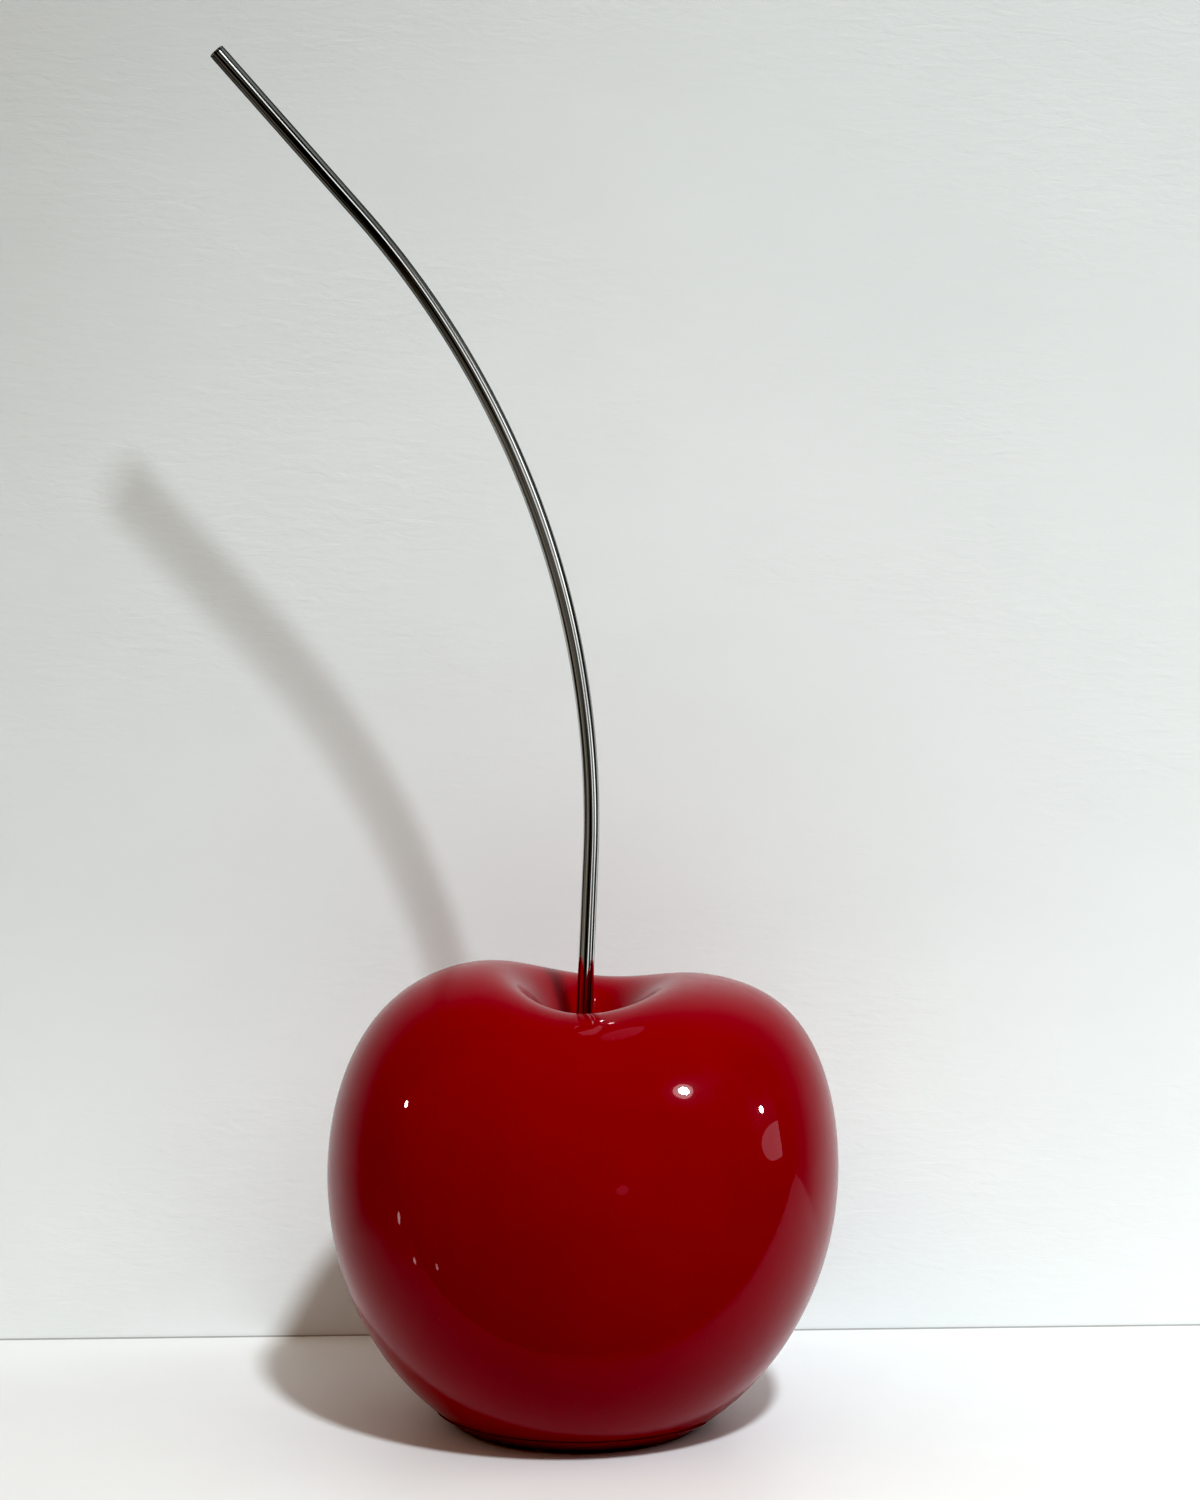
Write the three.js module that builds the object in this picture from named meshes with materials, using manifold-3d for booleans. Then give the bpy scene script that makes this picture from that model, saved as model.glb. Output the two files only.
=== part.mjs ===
// A decorative cherry: a hollow glazed body with a deep dimple, and a bent chrome tube for its stem.
// Millimetres, +Z up, seen from -Y. The origin is on the standing surface, under the middle of the foot.
import * as THREE from 'three';
import { mergeVertices } from 'three/addons/utils/BufferGeometryUtils.js';
import Module from 'manifold-3d';

const wasm = await Module();
wasm.setup();

// ---------------------------------------------------------------- driving dimensions
const GAP = 0.3;                  // clearance between pieces that touch in the real object

// Clear bumper pads under the foot
const PAD = { radius: 6.35, topRadius: 5.9, height: 3, edge: 0.8, count: 6, ringRadius: 62, firstAngle: -18 };

// Body: half an ellipsoid below the widest line, cut flat at the foot, and above it the same
// ellipsoid pressed down towards the middle, with fuller shoulders
const FOOT_Z = PAD.height + GAP;  // height of the flat foot
const HALF_WIDTH = 145.2;         // along X at the widest line
const DEPTH_RATIO = 0.95;         // depth along Y as a share of the width along X
const WIDEST_Z = 144.5;
const HALF_HEIGHT = 164.3;        // of the ellipsoid
const PRESSED = 45.6;             // how much lower the middle of the top is than the ellipsoid
const SHOULDER = { rise: 15.4, inner: 33, right: 25.5 };
const LEAN = 0.015;               // shift along X for each mm of height
const WALL = 8;

// Top of the body: two lobes, a groove between them from front to back, and the stem's dimple
const LOBES = { rise: 16.2, fall: 0.078 };           // fall: the left lobe stands higher than the right
const GROOVE = { depth: 5.9, halfWidth: 47.9, x: 12.5 };
const DIMPLE = { depth: 64, halfX: 27.9, halfY: 47.2, power: 1.89, x: 0 };
const GROOVE_TURN = THREE.MathUtils.degToRad(6);     // turn of the groove and dimple about Z

// Stem: straight, one bend to the left, straight
const TUBE = { radius: 4.5, wall: 1, sides: 18, steps: 44 };
const STEM = {
  x: -0.19, y: -0.22, z: 157,     // middle of its lower end, inside the neck
  lean: THREE.MathUtils.degToRad(2.31),
  turn: THREE.MathUtils.degToRad(4),                 // turn of the plane of the bend about Z
  lowerLength: 167.1, bendRadius: 508.4, bendAngle: THREE.MathUtils.degToRad(44), upperLength: 116.5,
};
const CAP = { headHeight: 1.2, plugRadius: 3.2, plugLength: 8, edge: 0.5 };

// Neck inside the body, with the rubber sleeve that grips the stem
const NECK = { radius: 12, low: 0, high: 37 };       // heights along the stem, from its lower end
const SLEEVE = { radius: 7.7, low: 2, high: 37 };
const BORE = { radius: SLEEVE.radius + GAP, low: -5, high: 57 };  // runs past both ends of the neck

// Facets: of the body's outer skin and of the hollow in it, and sides of the turned pieces
const SKIN = { around: 60, lowerRows: 11, upperRows: 24 };
const HOLLOW = { around: 36, lowerRows: 7, upperRows: 12 };
const FOOT_RING = 0.6;            // the foot's middle facets end this far out, inside the ring of pads
const NECK_SIDES = 24;
const SMALL_SIDES = 20;
const NORMAL_STEP = 0.004;        // between the points that give the skin's slope

// ---------------------------------------------------------------- materials
const material = (color, roughness, metalness) =>
  new THREE.MeshStandardMaterial({ color, roughness, metalness });
const redGlaze = material(0x8c0008, 0.05, 0);
const chrome = material(0xb4b4b2, 0.08, 1);
const blackRubber = material(0x1b1b1c, 0.7, 0);
const clearPad = material(0xdedede, 0.25, 0);

// ---------------------------------------------------------------- helpers
function toSolid(geometry) {
  const bare = geometry.clone();
  bare.deleteAttribute('normal');
  bare.deleteAttribute('uv');
  const merged = mergeVertices(bare, 1e-4);
  return new wasm.Manifold(new wasm.Mesh({
    numProp: 3,
    vertProperties: new Float32Array(merged.attributes.position.array),
    triVerts: new Uint32Array(merged.index.array),
  }));
}

function toGeometry(solid) {
  const mesh = solid.getMesh();
  const geometry = new THREE.BufferGeometry();
  geometry.setAttribute('position', new THREE.BufferAttribute(new Float32Array(mesh.vertProperties), 3));
  geometry.setIndex(new THREE.BufferAttribute(new Uint32Array(mesh.triVerts), 1));
  geometry.computeVertexNormals();
  return geometry;
}

function named(name, geometry, look) {
  const mesh = new THREE.Mesh(geometry, look);
  mesh.name = name;
  return mesh;
}

// A turned piece: [radius, height] pairs that start and end on the axis or close on themselves.
function turned(profile, sides) {
  const geometry = new THREE.LatheGeometry(profile.map(([r, z]) => new THREE.Vector2(r, z)), sides);
  return geometry.rotateX(Math.PI / 2);
}

// [radius, height] points of an arc of radius edge, for a turned piece's rounded edge.
function roundedEdge(centreRadius, centreHeight, edge, fromAngle, toAngle, steps = 3) {
  const points = [];
  for (let i = 0; i <= steps; i += 1) {
    const angle = fromAngle + (toAngle - fromAngle) * i / steps;
    points.push([centreRadius + edge * Math.cos(angle), centreHeight + edge * Math.sin(angle)]);
  }
  return points;
}

// ---------------------------------------------------------------- body
// Height of the skin above the widest line, over the point x, y of the body's plan.
function topHeight(x, y) {
  const side = x / HALF_WIDTH;
  const out = Math.min(1, Math.hypot(side, y / (HALF_WIDTH * DEPTH_RATIO)));
  const dome = Math.sqrt(1 - out ** 2);
  const below = 1 - dome;
  const across = (centre) => (x - centre) * Math.cos(GROOVE_TURN) - y * Math.sin(GROOVE_TURN);
  const along = (x - DIMPLE.x) * Math.sin(GROOVE_TURN) + y * Math.cos(GROOVE_TURN);
  const shoulder = below * (SHOULDER.rise + SHOULDER.right * side + SHOULDER.inner * below);
  const lobes = LOBES.rise * side ** 2 - LOBES.fall * x;
  const groove = GROOVE.depth * Math.exp(-((across(GROOVE.x) / GROOVE.halfWidth) ** 2));
  const reach = Math.hypot(across(DIMPLE.x) / DIMPLE.halfX, along / DIMPLE.halfY);
  const dimple = DIMPLE.depth * Math.exp(-(reach ** DIMPLE.power));
  return HALF_HEIGHT * dome + dome ** 2 * (shoulder + lobes - groove - dimple - PRESSED);
}

// A point of the skin: u is 0 on the foot's edge, 1 on the widest line and 2 in the middle of the dimple.
function skinPoint(u, turn) {
  const footAngle = Math.asin((WIDEST_Z - FOOT_Z) / HALF_HEIGHT);
  const angle = u < 1 ? footAngle * (1 - u) : Math.PI / 2 * (u - 1);
  const out = HALF_WIDTH * Math.cos(angle);
  const x = out * Math.cos(turn);
  const y = out * DEPTH_RATIO * Math.sin(turn);
  const z = WIDEST_Z + (u < 1 ? -HALF_HEIGHT * Math.sin(angle) : topHeight(x, y));
  return new THREE.Vector3(x + LEAN * (z - FOOT_Z), y, z);
}

// The same point moved inwards, square to the skin.
function innerPoint(u, turn, wall) {
  const at = Math.min(u, 2 - NORMAL_STEP);
  const up = skinPoint(at + NORMAL_STEP, turn).sub(skinPoint(at, turn));
  const round = skinPoint(at, turn + NORMAL_STEP).sub(skinPoint(at, turn - NORMAL_STEP));
  const outward = round.cross(up).normalize();
  return skinPoint(at, turn).addScaledVector(outward, -wall);
}

// Closed surface through rings of points, with one point at the bottom and one at the top.
function closedRings(rings, bottom, top) {
  const around = rings[0].length;
  const points = [bottom, ...rings.flat(), top];
  const index = [];
  const at = (row, column) => 1 + row * around + column % around;
  for (let column = 0; column < around; column += 1) {
    index.push(0, at(0, column + 1), at(0, column));
    for (let row = 0; row < rings.length - 1; row += 1) {
      const [a, b] = [at(row, column), at(row, column + 1)];
      const [c, d] = [at(row + 1, column), at(row + 1, column + 1)];
      index.push(a, b, d, a, d, c);
    }
    index.push(at(rings.length - 1, column), at(rings.length - 1, column + 1), points.length - 1);
  }
  const geometry = new THREE.BufferGeometry().setFromPoints(points);
  geometry.setIndex(index);
  return geometry;
}

// The body's closed surface, moved inwards by wall.
function bodySurface({ around, lowerRows, upperRows }, wall) {
  const levels = [];
  for (let row = 0; row < lowerRows; row += 1) levels.push(row / lowerRows);
  for (let row = 0; row < upperRows; row += 1) levels.push(1 + row / upperRows);
  const place = (u, turn) => (wall > 0 ? innerPoint(u, turn, wall) : skinPoint(u, turn));
  const rings = levels.map((u) =>
    Array.from({ length: around }, (_, column) => place(u, 2 * Math.PI * column / around)));
  const flatRing = rings[0].map((point) => new THREE.Vector3(
    point.x * FOOT_RING, point.y * FOOT_RING, point.z));
  const bottom = new THREE.Vector3(0, 0, FOOT_Z + wall);
  const top = skinPoint(2, 0).add(new THREE.Vector3(0, 0, -wall));
  return closedRings(wall > 0 ? rings : [flatRing, ...rings], bottom, top);
}

// ---------------------------------------------------------------- stem
// Middle line of the stem, by length: straight, a bend of constant radius, straight.
class StemLine extends THREE.Curve {
  constructor() {
    super();
    this.bendLength = STEM.bendRadius * STEM.bendAngle;
    this.total = STEM.lowerLength + this.bendLength + STEM.upperLength;
  }

  // Offset to the right and up after a length along the stem.
  reach(length) {
    const low = Math.min(length, STEM.lowerLength);
    const bend = THREE.MathUtils.clamp(length - STEM.lowerLength, 0, this.bendLength) / STEM.bendRadius;
    const high = Math.max(0, length - STEM.lowerLength - this.bendLength);
    const end = STEM.lean - bend;
    const r = STEM.bendRadius;
    const right = low * Math.sin(STEM.lean) + r * (Math.cos(end) - Math.cos(STEM.lean));
    const up = low * Math.cos(STEM.lean) + r * (Math.sin(STEM.lean) - Math.sin(end));
    return [right + high * Math.sin(end), up + high * Math.cos(end)];
  }

  getPoint(t, target = new THREE.Vector3()) {
    const [right, up] = this.reach(t * this.total);
    return target.set(
      STEM.x + right * Math.cos(STEM.turn), STEM.y + right * Math.sin(STEM.turn), STEM.z + up);
  }
}

const stemLine = new StemLine();

// Place a piece made along +Z on the stem's middle line, t of the way up.
function onStem(geometry, t) {
  const turn = new THREE.Quaternion().setFromUnitVectors(
    new THREE.Vector3(0, 0, 1), stemLine.getTangent(t));
  const place = stemLine.getPoint(t);
  return geometry.applyQuaternion(turn).translate(place.x, place.y, place.z);
}

function ringProfile(innerRadius, outerRadius, low, high) {
  return [[innerRadius, low], [outerRadius, low], [outerRadius, high], [innerRadius, high], [innerRadius, low]];
}

function makeStemTube() {
  const section = new THREE.Shape().absarc(0, 0, TUBE.radius, 0, 2 * Math.PI, false);
  section.holes.push(new THREE.Path().absarc(0, 0, TUBE.radius - TUBE.wall, 0, 2 * Math.PI, true));
  return new THREE.ExtrudeGeometry(section, {
    steps: TUBE.steps, curveSegments: TUBE.sides / 2, extrudePath: stemLine, bevelEnabled: false,
  });
}

// Plug pressed into the tube's upper end, with a head as wide as the tube.
function makeStemCap() {
  const top = GAP + CAP.headHeight;
  return onStem(turned([
    [0, -CAP.plugLength], [CAP.plugRadius, -CAP.plugLength], [CAP.plugRadius, GAP], [TUBE.radius, GAP],
    ...roundedEdge(TUBE.radius - CAP.edge, top - CAP.edge, CAP.edge, 0, Math.PI / 2), [0, top],
  ], TUBE.sides), 1);
}

function makeSleeve() {
  const profile = ringProfile(TUBE.radius + GAP, SLEEVE.radius, SLEEVE.low, SLEEVE.high);
  return onStem(turned(profile, SMALL_SIDES), 0);
}

function makeBody() {
  const cylinder = (radius, low, high) =>
    toSolid(onStem(turned([[0, low], [radius, low], [radius, high], [0, high]], NECK_SIDES), 0));
  const skin = toSolid(bodySurface(SKIN, 0));
  const hollow = toSolid(bodySurface(HOLLOW, WALL));
  const neck = cylinder(NECK.radius, NECK.low, NECK.high);
  const bore = cylinder(BORE.radius, BORE.low, BORE.high);
  return toGeometry(skin.subtract(hollow).add(neck).subtract(bore));
}

// ---------------------------------------------------------------- pads
function makePad(index) {
  const angle = THREE.MathUtils.degToRad(PAD.firstAngle + 360 * index / PAD.count);
  const pad = turned([
    [0, 0], ...roundedEdge(PAD.radius - PAD.edge, PAD.edge, PAD.edge, -Math.PI / 2, 0),
    [PAD.topRadius, PAD.height], [0, PAD.height],
  ], SMALL_SIDES);
  return pad.translate(PAD.ringRadius * Math.sin(angle), -PAD.ringRadius * Math.cos(angle), 0);
}

// ---------------------------------------------------------------- assembly
const cherry = new THREE.Group();
cherry.add(named('cherry_body', makeBody(), redGlaze));
cherry.add(named('stem_tube', makeStemTube(), chrome));
cherry.add(named('stem_cap', makeStemCap(), chrome));
cherry.add(named('stem_sleeve', makeSleeve(), blackRubber));
for (let index = 0; index < PAD.count; index += 1) {
  cherry.add(named(`bumper_pad_${index + 1}`, makePad(index), clearPad));
}

export default cherry;
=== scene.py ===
from collections import namedtuple
import math

import bpy
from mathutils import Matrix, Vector


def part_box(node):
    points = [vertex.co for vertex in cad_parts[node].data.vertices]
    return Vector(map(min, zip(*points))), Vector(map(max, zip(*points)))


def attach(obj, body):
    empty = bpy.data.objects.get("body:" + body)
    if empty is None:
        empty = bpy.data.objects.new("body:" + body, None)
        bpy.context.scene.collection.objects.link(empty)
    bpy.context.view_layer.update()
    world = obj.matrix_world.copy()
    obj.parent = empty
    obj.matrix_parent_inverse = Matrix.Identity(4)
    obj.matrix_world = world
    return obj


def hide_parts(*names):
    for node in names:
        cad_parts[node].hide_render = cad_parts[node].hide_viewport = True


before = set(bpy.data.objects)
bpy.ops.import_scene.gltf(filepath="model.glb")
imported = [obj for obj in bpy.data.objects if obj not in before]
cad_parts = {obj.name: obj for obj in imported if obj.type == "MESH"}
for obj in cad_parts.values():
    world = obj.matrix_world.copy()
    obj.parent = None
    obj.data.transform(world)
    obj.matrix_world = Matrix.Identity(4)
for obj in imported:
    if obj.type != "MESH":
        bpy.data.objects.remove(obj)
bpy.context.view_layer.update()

MM = 0.001

# ---------------------------------------------------------------- sizes of the cherry, in metres
# Body: half an ellipsoid below the widest line, cut flat at the foot, and above it the same
# ellipsoid pressed down towards the middle, with fuller shoulders.
FOOT_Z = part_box("cherry_body")[0][2]
HALF_WIDTH = 145.2 * MM
DEPTH_RATIO = 0.95
WIDEST_Z = 144.5 * MM
HALF_HEIGHT = 164.3 * MM
PRESSED = 45.6 * MM
SHOULDER_RISE = 15.4 * MM
SHOULDER_INNER = 33 * MM
SHOULDER_RIGHT = 25.5 * MM
LEAN = 0.015
WALL = 8 * MM
FOOT_EDGE = 2.5 * MM

# Top of the body: two lobes, a groove between them from front to back, and the stem's dimple.
LOBE_RISE = 16.2 * MM
LOBE_FALL = 0.078
GROOVE_DEPTH = 5.9 * MM
GROOVE_HALF_WIDTH = 47.9 * MM
GROOVE_X = 12.5 * MM
GROOVE_TURN = math.radians(6)
DIMPLE_DEPTH = 64 * MM
DIMPLE_HALF_X = 27.9 * MM
DIMPLE_HALF_Y = 47.2 * MM
DIMPLE_POWER = 1.89

# Neck inside the body that holds the stem, and how far its bore is cut past both ends.
NECK_RADIUS = 12 * MM
NECK_LENGTH = 37 * MM
BORE_RADIUS = 8 * MM
BORE_BELOW = 5 * MM
BORE_ABOVE = 15 * MM

# Stem: straight, one bend to the left, straight.
STEM_FOOT = Vector((-0.19, -0.22, 157)) * MM
STEM_LEAN = math.radians(2.31)
STEM_TURN = math.radians(4)
STEM_LOWER = 167.1 * MM
BEND_RADIUS = 508.4 * MM
BEND_ANGLE = math.radians(44)
STEM_UPPER = 116.5 * MM
TUBE_RADIUS = 4.5 * MM
TUBE_WALL = 1 * MM
CAP_GAP = 0.3 * MM
CAP_HEIGHT = 1.2 * MM
CAP_EDGE = 0.5 * MM

PADS = sorted(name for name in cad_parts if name.startswith("bumper_pad"))
PAD_EDGE = 0.5 * MM

# How fine the meshes are
BODY_SIDES = 208
BODY_RINGS = 176
RINGS_GATHERED = 0.55
TUBE_SIDES = 64
BEND_STEPS = 72
PAD_SIDES = 48
FOOT_EDGE_STEPS = 5
EDGE_STEPS = 4
SAME_POINT = 0.001 * MM
SHARP_ANGLE = math.radians(35)

# ---------------------------------------------------------------- colours
DEEP_RED = (0.245, 0.0, 0.0095)
WARM_RED = (0.274, 0.0, 0.0115)
DUST_ON_RED = (0.4, 0.16, 0.15)
# The chrome's dark and light colours are painted reflection: bands of the mirrored room on the tube.
CHROME_PAINTED_DARK_BAND = (0.15, 0.145, 0.14)
CHROME_PAINTED_LIGHT_BAND = (0.95, 0.95, 0.94)
CHROME_SMUDGE = (0.5, 0.47, 0.42)
RUBBER_BLACK = (0.012, 0.012, 0.012)
RUBBER_WORN = (0.035, 0.034, 0.033)
PAD_CLEAR = (0.86, 0.87, 0.87)
PAD_CLOUDY = (0.72, 0.71, 0.69)
WALL_WHITE = (0.88, 0.908, 0.9)
SHELF_WHITE = (0.772, 0.79, 0.79)
# Grey for the painted shade of the gap between the shelf and the wall.
GAP_SHADE_GREY = (0.52, 0.52, 0.51)
BLACK = (0, 0, 0)

# ---------------------------------------------------------------- room, light and camera
# Room: a shelf before a wall, with a thin grey strip where they meet, as painted shade of the gap
# between them.
ROOM_HALF = 4.0
SHELF_FRONT = -0.160
WALL_DISTANCE = 0.187
WALL_TURN = math.radians(2.7)
JOINT_HEIGHT = 0.9 * MM
JOINT_DEPTH = 0.3 * MM

# The key lamp throws the shadows, and the soft light fills them.
KEY_PLACE = (1.30, -3.27, 4.78)
KEY_AIM = (0.35, 0.1, 0.15)
KEY_RADIUS = 0.24
KEY_BEAM = math.radians(30)
KEY_POWER = 1290
KEY_COLOUR = (0.865, 0.934, 0.984)
FILL_RIGHT = 3.6
FILL_LEFT = 1.38
FILL_TOP = 0.48
RIGHT_COLOUR = (1.0, 1.0, 0.99)
LEFT_COLOUR = (1.0, 0.742, 0.587)
TOP_COLOUR = (1.0, 0.81, 0.6)

# The dim room that the gloss mirrors, and the pale surround of the other views.
ROOM_AHEAD = 0.14
ROOM_LEFT = 0.32
ROOM_RIGHT = 0.3
ROOM_WARM = (1.0, 0.92, 0.8)
ROOM_COOL = (0.94, 1.0, 0.98)
SURROUND = (0.86, 0.87, 0.87)
SURROUND_STRENGTH = 0.9

CAMERA_PLACE = Vector((11.8, -1690, 495.5)) * MM
CAMERA_DOWN = math.radians(3.79)
CAMERA_LENS = 72
FILM_WIDTH = 36
SHOWN_GAMMA = 0.8
BLACK_LEVEL = 0.028

# Small lamps and windows that only show in the gloss of one piece. The spot is where on the piece
# each is mirrored, in mm. Turn (from +X, in the level) and rise give the way from there to the
# lamp in degrees. Away, width and height are in metres.
Glint = namedtuple("Glint", "name spot turn rise away width height brightness colour",
                   defaults=[(1, 1, 1)])
BODY_GLINTS = (
    Glint("lamp_right", (56, -114, 210), -38.4, 37.1, 3, 0.25, 0.27, 200),
    Glint("lamp_glow", (56, -114, 210), -38.9, 37.1, 3.1, 0.5, 0.52, 8),
    Glint("far_right", (99, -94, 196), -1.4, 13.5, 4, 0.2, 0.19, 160),
    Glint("far_left", (-92, -93, 199), 179, 17.2, 4, 0.12, 0.16, 160),
    Glint("window", (107, -92, 179), 3.3, 2.4, 4, 1.3, 0.75, 2.2),
    Glint("left_a", (-96, -102, 139), -176.3, -14, 0.5, 0.016, 0.036, 7),
    Glint("left_b", (-87, -106, 117), -171.4, -25.1, 0.24, 0.007, 0.012, 6),
    Glint("left_c", (-75, -114, 115), -159.2, -27.3, 0.22, 0.007, 0.012, 6),
    Glint("ahead", (23, -136, 161), -73.9, -2.5, 3, 0.34, 0.2, 1.3),
    Glint("lip_a", (5, -95, 239), 88.9, 61.6, 0.3, 0.018, 0.11, 1.1),
    Glint("lip_b", (24, -97, 238), 77.1, 70.4, 0.3, 0.05, 0.11, 0.7),
    Glint("lip_c", (11, -86, 243), 90.5, 42.6, 0.2, 0.004, 0.012, 28),
    Glint("lip_d", (18, -88, 242), 89.6, 50, 0.2, 0.004, 0.01, 12),
)
STEM_GLINTS = (
    Glint("stem_tip", (-200, 0, 700), -58.5, 38.9, 3, 0.5, 0.6, 5.5, (0.9, 0.97, 1.0)),
    Glint("stem_front", (0, 0, 450), -70, 0, 3, 0.9, 5, 0.8),
    Glint("stem_right", (0, 0, 450), -28, 0, 3, 1, 5, 1.5),
)


# ---------------------------------------------------------------- modelling helpers
def deselect():
    if bpy.context.object and bpy.context.object.mode != "OBJECT":
        bpy.ops.object.mode_set(mode="OBJECT")
    bpy.ops.object.select_all(action="DESELECT")


def only(piece):
    """Selects this piece and no other."""
    deselect()
    piece.select_set(True)
    bpy.context.view_layer.objects.active = piece


def added(name):
    """Names the primitive that was just added, and puts its place and turn into its mesh."""
    piece = bpy.context.object
    piece.name = piece.data.name = name
    return settle(piece)


def settle(piece):
    """Puts the piece's place, turn and scale into its mesh."""
    only(piece)
    bpy.ops.object.transform_apply(location=True, rotation=True, scale=True)
    return piece


def apply_modifier(piece, kind, **settings):
    only(piece)
    modifier = piece.modifiers.new(kind.title(), kind)
    for key, value in settings.items():
        setattr(modifier, key, value)
    bpy.ops.object.modifier_apply(modifier=modifier.name)


def smooth(piece):
    only(piece)
    bpy.ops.object.shade_smooth_by_angle(angle=SHARP_ANGLE)


def clean_mesh():
    """In edit mode: merges doubled points and turns all faces outwards."""
    bpy.ops.mesh.select_all(action="SELECT")
    bpy.ops.mesh.remove_doubles(threshold=SAME_POINT)
    bpy.ops.mesh.normals_make_consistent(inside=False)


def turn_along(direction):
    """The turn that lays +Z along direction."""
    return Vector((0, 0, 1)).rotation_difference(direction).to_euler()


# ---------------------------------------------------------------- stem's middle line
RIGHT = Vector((math.cos(STEM_TURN), math.sin(STEM_TURN), 0))
UP = Vector((0, 0, 1))
BEND_AXIS = RIGHT.cross(UP)


def stem_direction(lean):
    return RIGHT * math.sin(lean) + UP * math.cos(lean)


def bend_spoke(lean):
    """From the bend's centre to the stem's middle, where the stem leans by this angle."""
    return (RIGHT * math.cos(lean) - UP * math.sin(lean)) * BEND_RADIUS


LOWER_DIRECTION = stem_direction(STEM_LEAN)
UPPER_DIRECTION = stem_direction(STEM_LEAN - BEND_ANGLE)
BEND_START = STEM_FOOT + LOWER_DIRECTION * STEM_LOWER
BEND_CENTRE = BEND_START - bend_spoke(STEM_LEAN)
BEND_END = BEND_CENTRE + bend_spoke(STEM_LEAN - BEND_ANGLE)
STEM_TIP = BEND_END + UPPER_DIRECTION * STEM_UPPER


# ---------------------------------------------------------------- body
def top_height(x, y):
    """Height of the skin above the widest line, over the point x, y of the body's plan."""
    side = x / HALF_WIDTH
    out = min(1.0, math.hypot(side, y / (HALF_WIDTH * DEPTH_RATIO)))
    dome = math.sqrt(1 - out * out)
    below = 1 - dome

    def across(centre):
        return (x - centre) * math.cos(GROOVE_TURN) - y * math.sin(GROOVE_TURN)

    along = x * math.sin(GROOVE_TURN) + y * math.cos(GROOVE_TURN)
    shoulder = below * (SHOULDER_RISE + SHOULDER_RIGHT * side + SHOULDER_INNER * below)
    lobes = LOBE_RISE * side * side - LOBE_FALL * x
    groove = GROOVE_DEPTH * math.exp(-((across(GROOVE_X) / GROOVE_HALF_WIDTH) ** 2))
    reach = math.hypot(across(0) / DIMPLE_HALF_X, along / DIMPLE_HALF_Y)
    dimple = DIMPLE_DEPTH * math.exp(-(reach ** DIMPLE_POWER))
    return HALF_HEIGHT * dome + dome * dome * (shoulder + lobes - groove - dimple - PRESSED)


def gather_rings(piece):
    """Draws the upper rings of a sphere of radius 1 closer together towards its top."""
    for vertex in piece.data.vertices:
        x, y, z = vertex.co
        if z > 0:
            rise = math.asin(min(1.0, z)) / (math.pi / 2)
            angle = (rise + RINGS_GATHERED * rise * (1 - rise)) * math.pi / 2
            out = math.hypot(x, y)
            share = math.cos(angle) / out if out > 1e-6 else 0
            vertex.co = (x * share, y * share, math.sin(angle))


def press_top(piece):
    """Presses the lobes, the groove and the dimple into the ellipsoid, and leans the whole."""
    for vertex in piece.data.vertices:
        x, y, z = vertex.co
        if z > 0:
            z = top_height(x, y)
        z += WIDEST_Z
        vertex.co = (x + LEAN * max(0, z - FOOT_Z), y, z)


def cut_foot(piece):
    """Cuts the foot flat and rounds its edge."""
    only(piece)
    bpy.ops.object.mode_set(mode="EDIT")
    bpy.ops.mesh.select_mode(type="EDGE")
    bpy.ops.mesh.select_all(action="SELECT")
    bpy.ops.mesh.bisect(
        plane_co=(0, 0, FOOT_Z), plane_no=(0, 0, 1), use_fill=True, clear_inner=True)
    bpy.ops.mesh.select_mode(type="FACE")
    bpy.ops.mesh.select_all(action="DESELECT")
    bpy.ops.object.mode_set(mode="OBJECT")
    for face in piece.data.polygons:
        face.select = face.center.z < FOOT_Z + 0.01 * MM and face.normal.z < -0.99
    bpy.ops.object.mode_set(mode="EDIT")
    bpy.ops.mesh.region_to_loop()
    bpy.ops.mesh.bevel(offset=FOOT_EDGE, segments=FOOT_EDGE_STEPS, affect="EDGES")
    clean_mesh()
    bpy.ops.object.mode_set(mode="OBJECT")


def add_bar(radius, low, high):
    """A round bar on the stem's lower straight, from low to high along it."""
    deselect()
    bpy.ops.mesh.primitive_cylinder_add(
        vertices=TUBE_SIDES, radius=radius, depth=high - low,
        location=STEM_FOOT + LOWER_DIRECTION * (low + high) / 2,
        rotation=turn_along(LOWER_DIRECTION))
    return added("bar")


def join_or_cut(piece, bar, operation):
    apply_modifier(piece, "BOOLEAN", object=bar, operation=operation, solver="EXACT")
    bpy.data.objects.remove(bar)


def make_body():
    deselect()
    bpy.ops.mesh.primitive_uv_sphere_add(segments=BODY_SIDES, ring_count=BODY_RINGS, radius=1)
    body = added("cherry_shell")
    gather_rings(body)
    body.scale = (HALF_WIDTH, HALF_WIDTH * DEPTH_RATIO, HALF_HEIGHT)
    settle(body)
    press_top(body)
    cut_foot(body)
    apply_modifier(body, "SOLIDIFY", thickness=WALL, offset=-1, use_even_offset=False)
    join_or_cut(body, add_bar(NECK_RADIUS, 0, NECK_LENGTH), "UNION")
    join_or_cut(body, add_bar(BORE_RADIUS, -BORE_BELOW, NECK_LENGTH + BORE_ABOVE), "DIFFERENCE")
    smooth(body)
    return body


# ---------------------------------------------------------------- stem
def draw_out(shift):
    bpy.ops.mesh.extrude_region_move(TRANSFORM_OT_translate={"value": shift})


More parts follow.
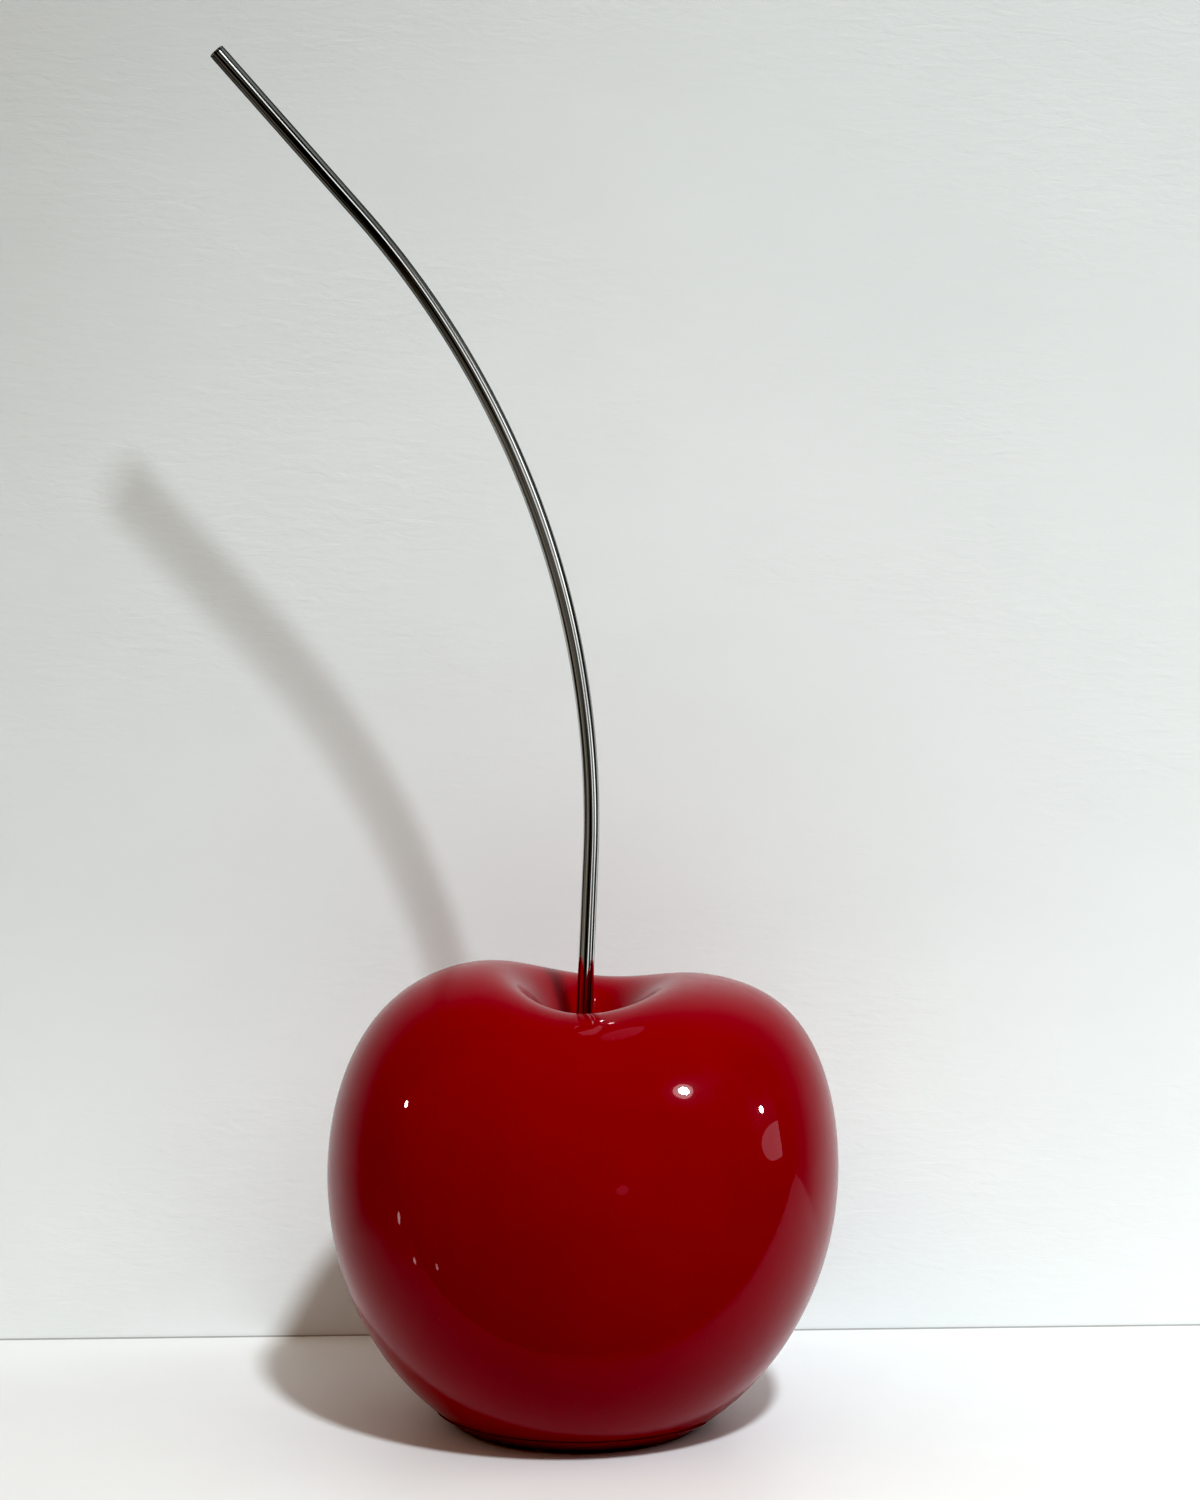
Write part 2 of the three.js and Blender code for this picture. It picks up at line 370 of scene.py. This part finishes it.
def make_stem():
    """A ring drawn out along the lower straight, spun round the bend and drawn out again."""
    deselect()
    bpy.ops.mesh.primitive_circle_add(
        vertices=TUBE_SIDES, radius=TUBE_RADIUS, fill_type="NOTHING",
        location=STEM_FOOT, rotation=turn_along(LOWER_DIRECTION))
    tube = added("stem_chrome")
    bpy.ops.object.mode_set(mode="EDIT")
    bpy.ops.mesh.select_all(action="SELECT")
    draw_out(LOWER_DIRECTION * STEM_LOWER)
    bpy.ops.mesh.spin(steps=BEND_STEPS, angle=-BEND_ANGLE, center=BEND_CENTRE, axis=BEND_AXIS)
    draw_out(UPPER_DIRECTION * STEM_UPPER)
    clean_mesh()
    bpy.ops.object.mode_set(mode="OBJECT")
    apply_modifier(tube, "SOLIDIFY", thickness=TUBE_WALL, offset=-1)
    map_along_stem(tube)
    smooth(tube)
    return tube


def map_along_stem(piece):
    """A UV map with the turn round the tube as U and the length along it as V, both in metres."""
    for old in list(piece.data.uv_layers):
        piece.data.uv_layers.remove(old)
    layer = piece.data.uv_layers.new(name="drawn")
    for loop in piece.data.loops:
        layer.data[loop.index].uv = stem_place(piece.data.vertices[loop.vertex_index].co)


def stem_place(point):
    """How far round the tube's skin and along its length a point lies."""
    length = (point - STEM_FOOT).dot(LOWER_DIRECTION)
    middle = STEM_FOOT + LOWER_DIRECTION * length
    direction = LOWER_DIRECTION
    if length > STEM_LOWER:
        spoke = point - BEND_CENTRE
        bend = STEM_LEAN + math.atan2(spoke.dot(UP), spoke.dot(RIGHT))
        if bend < BEND_ANGLE:
            length = STEM_LOWER + bend * BEND_RADIUS
            direction = stem_direction(STEM_LEAN - bend)
            middle = BEND_CENTRE + bend_spoke(STEM_LEAN - bend)
        else:
            direction = UPPER_DIRECTION
            further = (point - BEND_END).dot(direction)
            length = STEM_LOWER + BEND_ANGLE * BEND_RADIUS + further
            middle = BEND_END + direction * further
    side = point - middle
    turn = math.atan2(side.dot(BEND_AXIS), side.dot(direction.cross(BEND_AXIS)))
    return (turn * TUBE_RADIUS, length)


def make_cap():
    """The plug's round head on the tube's upper end."""
    deselect()
    bpy.ops.mesh.primitive_cylinder_add(
        vertices=TUBE_SIDES, radius=TUBE_RADIUS, depth=CAP_HEIGHT,
        location=STEM_TIP + UPPER_DIRECTION * (CAP_GAP + CAP_HEIGHT / 2),
        rotation=turn_along(UPPER_DIRECTION))
    cap = added("stem_end_cap")
    apply_modifier(cap, "BEVEL", width=CAP_EDGE, segments=EDGE_STEPS, limit_method="ANGLE")
    map_along_stem(cap)
    smooth(cap)
    return cap


# ---------------------------------------------------------------- pads
def pad_corners(node):
    return [Vector(corner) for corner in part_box(node)]


def pad_name(node):
    return node.replace("bumper_pad", "clear_pad")


def make_pad(node):
    """A round pad with soft edges, as wide and as high as the node's box."""
    low, high = pad_corners(node)
    size = high - low
    deselect()
    bpy.ops.mesh.primitive_cylinder_add(
        vertices=PAD_SIDES, radius=size.x / 2, depth=size.z, location=(low + high) / 2)
    pad = added(pad_name(node))
    bpy.ops.object.mode_set(mode="EDIT")
    bpy.ops.mesh.select_all(action="SELECT")
    bpy.ops.mesh.bevel(offset=PAD_EDGE, segments=EDGE_STEPS, affect="EDGES")
    bpy.ops.object.mode_set(mode="OBJECT")
    smooth(pad)
    return pad


def copy_pad(pad, node, other):
    """A copy, with its own mesh, of the node's pad at the other node's place."""
    twin = pad.copy()
    twin.data = pad.data.copy()
    twin.name = twin.data.name = pad_name(other)
    bpy.context.scene.collection.objects.link(twin)
    twin.location = (sum(pad_corners(other), Vector()) - sum(pad_corners(node), Vector())) / 2
    return settle(twin)


# ---------------------------------------------------------------- shared surface effects
def new_group(name, inputs, outputs):
    """A node group with a Vector and number inputs {name: default}, and number outputs."""
    group = bpy.data.node_groups.new(name, "ShaderNodeTree")
    group.interface.new_socket("Vector", in_out="INPUT", socket_type="NodeSocketVector")
    for title, default in inputs.items():
        socket = group.interface.new_socket(title, in_out="INPUT", socket_type="NodeSocketFloat")
        socket.default_value = default
    for title in outputs:
        group.interface.new_socket(title, in_out="OUTPUT", socket_type="NodeSocketFloat")
    start = group.nodes.new("NodeGroupInput")
    end = group.nodes.new("NodeGroupOutput")
    return group, start.outputs, end.inputs


def add_node(tree, kind, inputs=None, **settings):
    """A node with its settings, and its inputs set to numbers or linked to sockets."""
    made = tree.nodes.new(kind)
    for key, value in settings.items():
        setattr(made, key, value)
    for key, value in (inputs or {}).items():
        if isinstance(value, bpy.types.NodeSocket):
            tree.links.new(value, made.inputs[key])
        else:
            made.inputs[key].default_value = value
    return made


def noise(tree, vector, scale, detail=2, rough=0.5, distortion=0.0):
    made = add_node(tree, "ShaderNodeTexNoise", {
        "Vector": vector, "Scale": scale, "Detail": detail, "Roughness": rough,
        "Distortion": distortion})
    return made.outputs["Fac"]


def maths(tree, operation, first, second, third=0.0):
    made = add_node(tree, "ShaderNodeMath", {0: first, 1: second, 2: third}, operation=operation)
    return made.outputs[0]


def times(tree, *shares):
    """The product of two or more values."""
    product = shares[0]
    for share in shares[1:]:
        product = maths(tree, "MULTIPLY", product, share)
    return product


def spread(tree, value, low, high, to_low=0.0, to_high=1.0):
    """Maps low to to_low and high to to_high, and holds those beyond them."""
    made = add_node(tree, "ShaderNodeMapRange", {
        "Value": value, "From Min": low, "From Max": high, "To Min": to_low, "To Max": to_high})
    return made.outputs["Result"]


def stretched(tree, vector, scale):
    made = add_node(tree, "ShaderNodeMapping", {"Vector": vector, "Scale": scale})
    return made.outputs["Vector"]


def parts_of(tree, vector):
    return add_node(tree, "ShaderNodeSeparateXYZ", {"Vector": vector}).outputs


def make_smudges():
    """Faint wiped patches and dust specks, as masks from 0 to 1."""
    group, given, result = new_group(
        "smudges_and_dust", {"Patch Scale": 14.0, "Dust Scale": 420.0}, ["Smudge", "Dust"])
    place = given["Vector"]
    cloud = noise(group, place, given["Patch Scale"], 4, 0.6, 0.6)
    wiped = noise(group, stretched(group, place, (1.0, 1.0, 0.35)), 90, 3, 0.6)
    patch = times(group, spread(group, cloud, 0.48, 0.72), spread(group, wiped, 0.3, 0.7))
    speck = add_node(group, "ShaderNodeTexVoronoi", {
        "Vector": place, "Scale": given["Dust Scale"]}, feature="F1")
    near = spread(group, speck.outputs["Distance"], 0.16, 0.05)
    chosen = spread(group, noise(group, place, 260, 0), 0.66, 0.7)
    group.links.new(patch, result["Smudge"])
    group.links.new(times(group, near, chosen), result["Dust"])
    return group


def make_streaks_and_painted_bands():
    """Lines and bands along the tube, the bands partly painted reflection: Vector has the turn round
    it as X and the length as Y, in metres.
    """
    group, given, result = new_group(
        "drawn_streaks_and_painted_bands", {"Line Scale": 2600.0, "Band Scale": 560.0}, ["Streak", "Band"])
    thin = stretched(group, given["Vector"], (1.0, 0.006, 1.0))
    broad = stretched(group, given["Vector"], (1.0, 0.004, 1.0))
    group.links.new(noise(group, thin, given["Line Scale"], 3, 0.7), result["Streak"])
    group.links.new(noise(group, broad, given["Band Scale"], 3, 0.6), result["Band"])
    return group


def place_group(tree, group, vector, **inputs):
    made = add_node(tree, "ShaderNodeGroup", node_tree=group)
    tree.links.new(vector, made.inputs["Vector"])
    for key, value in inputs.items():
        made.inputs[key.replace("_", " ")].default_value = value
    return made.outputs


# ---------------------------------------------------------------- materials
def new_material(name):
    material = bpy.data.materials.new(name)
    material.use_nodes = True
    tree = material.node_tree
    return material, tree, tree.nodes["Principled BSDF"]


def object_place(tree):
    return add_node(tree, "ShaderNodeTexCoord").outputs["Object"]


def blend(tree, share, first, second):
    """A mix of two colours, each a colour's three numbers or a socket."""
    made = add_node(tree, "ShaderNodeMix", data_type="RGBA")
    tree.links.new(share, made.inputs[0])
    for socket, colour in ((made.inputs[6], first), (made.inputs[7], second)):
        if isinstance(colour, bpy.types.NodeSocket):
            tree.links.new(colour, socket)
        else:
            socket.default_value = (*colour, 1)
    return made.outputs[2]


def bump(tree, height, distance):
    made = add_node(tree, "ShaderNodeBump", {"Height": height, "Distance": distance})
    return made.outputs["Normal"]


def red_glaze(smudges):
    """Deep red under a hard gloss, with a slight flow in it and a few specks of dust."""
    material, tree, shader = new_material("red_glaze")
    place = object_place(tree)
    marks = place_group(tree, smudges, place, Patch_Scale=11.0, Dust_Scale=380.0)
    cloud = spread(tree, noise(tree, place, 9, 3, 0.55, 0.3), 0.3, 0.7)
    red = blend(tree, cloud, DEEP_RED, WARM_RED)
    dusty = blend(tree, times(tree, marks["Dust"], 0.25), red, DUST_ON_RED)
    tree.links.new(dusty, shader.inputs["Base Color"])
    gloss = maths(tree, "MULTIPLY_ADD", marks["Smudge"], -0.06, 0.6)
    gloss = maths(tree, "MULTIPLY_ADD", marks["Dust"], -0.35, gloss)
    tree.links.new(gloss, shader.inputs["Coat Weight"])
    rough = maths(tree, "MULTIPLY_ADD", marks["Smudge"], 0.1, 0.3)
    tree.links.new(rough, shader.inputs["Roughness"])
    flow = noise(tree, place, 26, 2)
    skin = noise(tree, place, 320, 1)
    surface = bump(tree, maths(tree, "MULTIPLY_ADD", skin, 0.004, flow), 0.22 * MM)
    tree.links.new(surface, shader.inputs["Normal"])
    tree.links.new(surface, shader.inputs["Coat Normal"])
    shader.inputs["Coat Roughness"].default_value = 0.03
    shader.inputs["Coat IOR"].default_value = 1.5
    shader.inputs["Specular IOR Level"].default_value = 0.04
    return material


def polished_chrome(smudges, streaks):
    """Drawn tube, polished along its length and chromed, with painted reflections in bands along it.
    """
    material, tree, shader = new_material("polished_chrome")
    along = add_node(tree, "ShaderNodeUVMap", uv_map="drawn").outputs["UV"]
    streak_and_band_masks = place_group(tree, streaks, along, Line_Scale=2600.0, Band_Scale=560.0)
    marks = place_group(tree, smudges, object_place(tree), Patch_Scale=30.0, Dust_Scale=900.0)
    # Painted reflection: the chrome's colour runs from dark to light in bands along the tube,
    # standing in for the room it mirrors.
    tone = blend(tree, spread(tree, streak_and_band_masks["Band"], 0.44, 0.55), CHROME_PAINTED_DARK_BAND, CHROME_PAINTED_LIGHT_BAND)
    tone = blend(tree, times(tree, marks["Smudge"], 0.4), tone, CHROME_SMUDGE)
    tree.links.new(tone, shader.inputs["Base Color"])
    rough = spread(tree, streak_and_band_masks["Streak"], 0.3, 0.75, 0.04, 0.12)
    rough = maths(tree, "MULTIPLY_ADD", marks["Smudge"], 0.1, rough)
    tree.links.new(rough, shader.inputs["Roughness"])
    tree.links.new(bump(tree, streak_and_band_masks["Band"], 0.03 * MM), shader.inputs["Normal"])
    shader.inputs["Metallic"].default_value = 1
    return material


def black_rubber(smudges):
    """Dull black rubber, a little grey where it was handled."""
    material, tree, shader = new_material("black_rubber")
    place = object_place(tree)
    marks = place_group(tree, smudges, place, Patch_Scale=60.0, Dust_Scale=1400.0)
    tone = blend(tree, marks["Smudge"], RUBBER_BLACK, RUBBER_WORN)
    tree.links.new(tone, shader.inputs["Base Color"])
    rough = spread(tree, noise(tree, place, 900), 0.3, 0.7, 0.45, 0.7)
    tree.links.new(rough, shader.inputs["Roughness"])
    tree.links.new(bump(tree, noise(tree, place, 1500), 0.1 * MM), shader.inputs["Normal"])
    return material


def clear_rubber(smudges):
    """Soft clear plastic, slightly cloudy."""
    material, tree, shader = new_material("clear_rubber")
    place = object_place(tree)
    marks = place_group(tree, smudges, place, Patch_Scale=120.0, Dust_Scale=1600.0)
    tone = blend(tree, marks["Smudge"], PAD_CLEAR, PAD_CLOUDY)
    tree.links.new(tone, shader.inputs["Base Color"])
    rough = spread(tree, noise(tree, place, 700), 0.3, 0.7, 0.18, 0.34)
    tree.links.new(rough, shader.inputs["Roughness"])
    shader.inputs["Transmission Weight"].default_value = 0.55
    shader.inputs["IOR"].default_value = 1.45
    return material


# ---------------------------------------------------------------- room
def mirrored_wall(tree, place):
    """How much of the wall's brightness shows in the gloss, as painted reflection: less further away
    from the cherry.
    """
    beside = (0.03, 0.0, 0.0)
    near, far, far_share = 0.36, 0.75, 0.36
    away = add_node(tree, "ShaderNodeVectorMath", {
        0: stretched(tree, place, (1.0, 0.0, 1.25)), 1: beside}, operation="DISTANCE")
    return spread(tree, away.outputs["Value"], near, far, 1.0, far_share)


def mirrored_shelf(tree, place):
    """How much of the shelf's brightness shows in the gloss, as painted reflection: less in front and
    far to the left.

    To the right the bright part ends at a line that draws back towards the wall.
    """
    parts = parts_of(tree, place)
    side, depth = parts["X"], parts["Y"]
    line = times(tree, side, maths(tree, "MULTIPLY_ADD", side, 0.14, 0.14))
    inside = spread(tree, maths(tree, "SUBTRACT", depth, line), -0.17, -0.15, 0.15, 1.0)
    left = spread(tree, side, -0.22, -0.6, 1.0, 0.5)
    back = spread(tree, depth, -0.09, 0.0, 0.86, 0.98)
    return times(tree, back, left, inside)


def pale_paint(name, colour, roughness, mirrored, strokes=0.0):
    """Pale paint, darkened higher up as painted shade, with faint brush strokes of the given depth.

    Seen in the cherry's gloss, the paint is painted darker, down to the share of its brightness that
    the function mirrored gives: a painted reflection.
    """
    material, tree, shader = new_material(name)
    place = object_place(tree)
    patch = noise(tree, stretched(tree, place, (0.7, 1.0, 1.0)), 5, 3, 0.6)
    dull = tuple(0.972 * part for part in colour)
    tone = blend(tree, spread(tree, patch, 0.35, 0.65), colour, dull)
    # Painted shade: the paint grows darker higher up, standing in for light that falls off up the
    # wall.
    painted_shade_higher_up = spread(tree, parts_of(tree, place)["Z"], 0.0, 0.8, 0.0, 0.17)
    tone = blend(tree, painted_shade_higher_up, tone, BLACK)
    # Painted reflection: glossy rays see the paint darkened, so the wall and shelf show less bright
    # in the gloss than they are lit.
    glossy = add_node(tree, "ShaderNodeLightPath").outputs["Is Glossy Ray"]
    painted_dark_in_gloss = times(tree, glossy, maths(tree, "SUBTRACT", 1.0, mirrored(tree, place)))
    tree.links.new(blend(tree, painted_dark_in_gloss, tone, BLACK), shader.inputs["Base Color"])
    shader.inputs["Roughness"].default_value = roughness
    if strokes:
        stroke = noise(tree, stretched(tree, place, (0.3, 1.0, 1.0)), 150, 6, 0.62, 0.5)
        layer = noise(tree, stretched(tree, place, (0.6, 1.0, 1.0)), 4, 3, 0.6)
        thick = spread(tree, layer, 0.42, 0.6, 0.25, 1.0)
        surface = bump(tree, times(tree, stroke, thick), strokes)
        tree.links.new(surface, shader.inputs["Normal"])
    return material


def see_through_from_behind(material):
    """The wall doesn't hide the cherry from a camera behind it."""
    tree = material.node_tree
    behind = add_node(tree, "ShaderNodeNewGeometry").outputs["Backfacing"]
    seen = add_node(tree, "ShaderNodeLightPath").outputs["Is Camera Ray"]
    clear = add_node(tree, "ShaderNodeBsdfTransparent").outputs["BSDF"]
    paint = tree.nodes["Principled BSDF"].outputs["BSDF"]
    both = add_node(tree, "ShaderNodeMixShader", {
        "Fac": times(tree, behind, seen), 1: paint, 2: clear})
    tree.links.new(both.outputs["Shader"], tree.nodes["Material Output"].inputs["Surface"])


def stage_plane(name, corners, material):
    mesh = bpy.data.meshes.new(name)
    mesh.from_pydata([Vector(corner) for corner in corners], [], [(0, 1, 2, 3)])
    plane = bpy.data.objects.new(name, mesh)
    bpy.context.scene.collection.objects.link(plane)
    mesh.materials.append(material)
    return plane


def make_room():
    """The wall, the shelf before it, a grey strip of painted gap shade where they meet, and the floor
    further out and behind.
    """
    half = ROOM_HALF
    along = Vector((math.cos(WALL_TURN), math.sin(WALL_TURN), 0))
    outward = Vector((math.sin(WALL_TURN), -math.cos(WALL_TURN), 0))
    middle = Vector((0, WALL_DISTANCE, 0))
    left, right = middle - along * half, middle + along * half
    tall, deep = UP * 2 * half, Vector((0, half, 0))
    front_left, front_right = Vector((-half, SHELF_FRONT, 0)), Vector((half, SHELF_FRONT, 0))

    paint = pale_paint("wall_paint", WALL_WHITE, 0.75, mirrored_wall, strokes=0.36 * MM)
    see_through_from_behind(paint)
    stage_plane("wall", [left, right, right + tall, left + tall], paint)
    white = pale_paint("shelf_white", SHELF_WHITE, 0.45, mirrored_shelf)
    stage_plane("shelf", [front_left, front_right, right, left], white)
    beyond = stage_plane(
        "floor_beyond", [(-half, -half, 0), (half, -half, 0), front_right, front_left], white)
    behind = stage_plane("floor_behind", [left, right, right + deep, left + deep], white)
    for plane in (beyond, behind):
        plane.visible_glossy = False

    # Painted shade: a thin grey strip at the foot of the wall stands in for the shaded gap between
    # wall and shelf.
    low_left, low_right = left + outward * JOINT_DEPTH, right + outward * JOINT_DEPTH
    lift = UP * JOINT_HEIGHT
    grey = pale_paint("painted_gap_shade", GAP_SHADE_GREY, 0.8, mirrored_wall)
    stage_plane("joint", [low_left, low_right, low_right + lift, low_left + lift], grey)


# ---------------------------------------------------------------- light
def place_light(name, light, where, aim):
    lamp = bpy.data.objects.new(name, light)
    bpy.context.scene.collection.objects.link(lamp)
    lamp.location = where
    lamp.rotation_euler = (Vector(aim) - Vector(where)).to_track_quat("-Z", "Y").to_euler()
    return lamp


def make_key():
    """The one lamp that throws the shadows."""
    light = bpy.data.lights.new("key", "SPOT")
    light.energy = KEY_POWER
    light.color = KEY_COLOUR
    light.shadow_soft_size = KEY_RADIUS
    light.spot_size = KEY_BEAM
    light.spot_blend = 1
    lamp = place_light("key", light, KEY_PLACE, KEY_AIM)
    lamp.visible_glossy = False


def way_to(turn, rise):
    """The direction that is turned from +X and raised from the level by so many degrees."""
    turn, rise = math.radians(turn), math.radians(rise)
    level = Vector((math.cos(turn), math.sin(turn), 0))
    return level * math.cos(rise) + UP * math.sin(rise)


def make_glint(glint, piece):
    """A small bright lamp or window that only shows as a reflection in one piece."""
    light = bpy.data.lights.new(glint.name, "AREA")
    light.shape = "ELLIPSE"
    light.size, light.size_y = glint.width, glint.height
    area = math.pi / 4 * glint.width * glint.height
    light.energy = glint.brightness * area * math.pi
    light.color = glint.colour
    spot = Vector(glint.spot) * MM
    lamp = place_light(glint.name, light, spot + way_to(glint.turn, glint.rise) * glint.away, spot)
    lamp.visible_diffuse = False
    lamp.visible_camera = False
    mirrored_by = bpy.data.collections.new(glint.name + "_shows_in")
    mirrored_by.objects.link(piece)
    lamp.light_linking.receiver_collection = mirrored_by


def band_strength(tree, side, height, toward):
    """Brightness of the room that the gloss mirrors: dim ahead, lighter to both sides."""
    left = spread(tree, side, -0.12, -0.75, ROOM_AHEAD, ROOM_LEFT)
    right = spread(tree, side, 0.12, 0.8, ROOM_AHEAD, ROOM_RIGHT)
    upright = noise(tree, stretched(tree, toward, (1.0, 1.0, 0.12)), 7, 3, 0.6)
    bands = spread(tree, upright, 0.35, 0.65, 0.45, 1.5)
    raised = spread(tree, height, -0.5, 0.1, 0.35, 1.0)
    return times(tree, maths(tree, "MAXIMUM", left, right), bands, raised)


def glow(tree, colour, strength):
    """Light from the surround, as a shader: a colour and a strength, each a value or a socket."""
    if not isinstance(colour, bpy.types.NodeSocket):
        colour = (*colour, 1)
    return add_node(tree, "ShaderNodeBackground", {"Color": colour, "Strength": strength}).outputs[0]


def both_glows(tree, first, second):
    return add_node(tree, "ShaderNodeAddShader", {0: first, 1: second}).outputs[0]


def soft_light(tree, side, height):
    """Soft light on matt surfaces: neutral from the right, warm from the left and from above."""
    rise = spread(tree, height, 0.36, 0.54)
    fall = spread(tree, height, 0.9, 0.75)
    from_right = times(tree, rise, FILL_RIGHT, fall, spread(tree, side, 0.5, 0.8))
    from_left = times(tree, rise, FILL_LEFT, fall, spread(tree, side, -0.1, -0.5))
    from_top = times(tree, spread(tree, height, 0.3, 0.9), FILL_TOP)
    sides = both_glows(tree, glow(tree, RIGHT_COLOUR, from_right), glow(tree, LEFT_COLOUR, from_left))
    return both_glows(tree, sides, glow(tree, TOP_COLOUR, from_top))


def make_world():
    """Pale to the camera, a soft fill on the surfaces, and a dim room in reflections."""
    world = bpy.data.worlds.new("room")
    bpy.context.scene.world = world
    world.use_nodes = True
    tree = world.node_tree
    toward = add_node(tree, "ShaderNodeTexCoord").outputs["Generated"]
    parts = parts_of(tree, toward)
    side, height = parts["X"], parts["Z"]
    tint = blend(tree, spread(tree, side, -0.4, 0.5), ROOM_WARM, ROOM_COOL)
    room = glow(tree, tint, band_strength(tree, side, height, toward))
    path = add_node(tree, "ShaderNodeLightPath").outputs
    lit = add_node(tree, "ShaderNodeMixShader", {
        "Fac": path["Is Glossy Ray"], 1: soft_light(tree, side, height), 2: room})
    seen = add_node(tree, "ShaderNodeMixShader", {
        "Fac": path["Is Camera Ray"], 1: lit.outputs[0],
        2: glow(tree, SURROUND, SURROUND_STRENGTH)})
    tree.links.new(seen.outputs[0], tree.nodes["World Output"].inputs["Surface"])


def make_camera():
    data = bpy.data.cameras.new("camera")
    data.lens = CAMERA_LENS
    data.sensor_width = FILM_WIDTH
    camera = bpy.data.objects.new("camera", data)
    bpy.context.scene.collection.objects.link(camera)
    camera.location = CAMERA_PLACE
    camera.rotation_euler = (math.radians(90) - CAMERA_DOWN, 0, 0)
    bpy.context.scene.camera = camera
    shown = bpy.context.scene.view_settings
    shown.view_transform = "Standard"
    shown.gamma = SHOWN_GAMMA
    shown.use_curve_mapping = True
    shown.curve_mapping.black_level = (BLACK_LEVEL,) * 3
    shown.curve_mapping.update()


# ---------------------------------------------------------------- assembly
def finish_piece(piece, material, replaced):
    """Gives the piece its finish, and puts it in the place of its node."""
    piece.data.materials.clear()
    piece.data.materials.append(material)
    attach(piece, "root")
    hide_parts(replaced)


make_camera()
make_room()
make_key()
make_world()

smudges = make_smudges()
chrome = polished_chrome(smudges, make_streaks_and_painted_bands())
clear = clear_rubber(smudges)
rubber = black_rubber(smudges)

body = make_body()
stem = make_stem()
finish_piece(body, red_glaze(smudges), "cherry_body")
finish_piece(stem, chrome, "stem_tube")
finish_piece(make_cap(), chrome, "stem_cap")
for glint in BODY_GLINTS:
    make_glint(glint, body)
for glint in STEM_GLINTS:
    make_glint(glint, stem)

first_pad = make_pad(PADS[0])
pads = [first_pad] + [copy_pad(first_pad, PADS[0], node) for node in PADS[1:]]
for pad, node in zip(pads, PADS):
    finish_piece(pad, clear, node)
for part_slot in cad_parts["stem_sleeve"].material_slots:
    part_slot.material = rubber
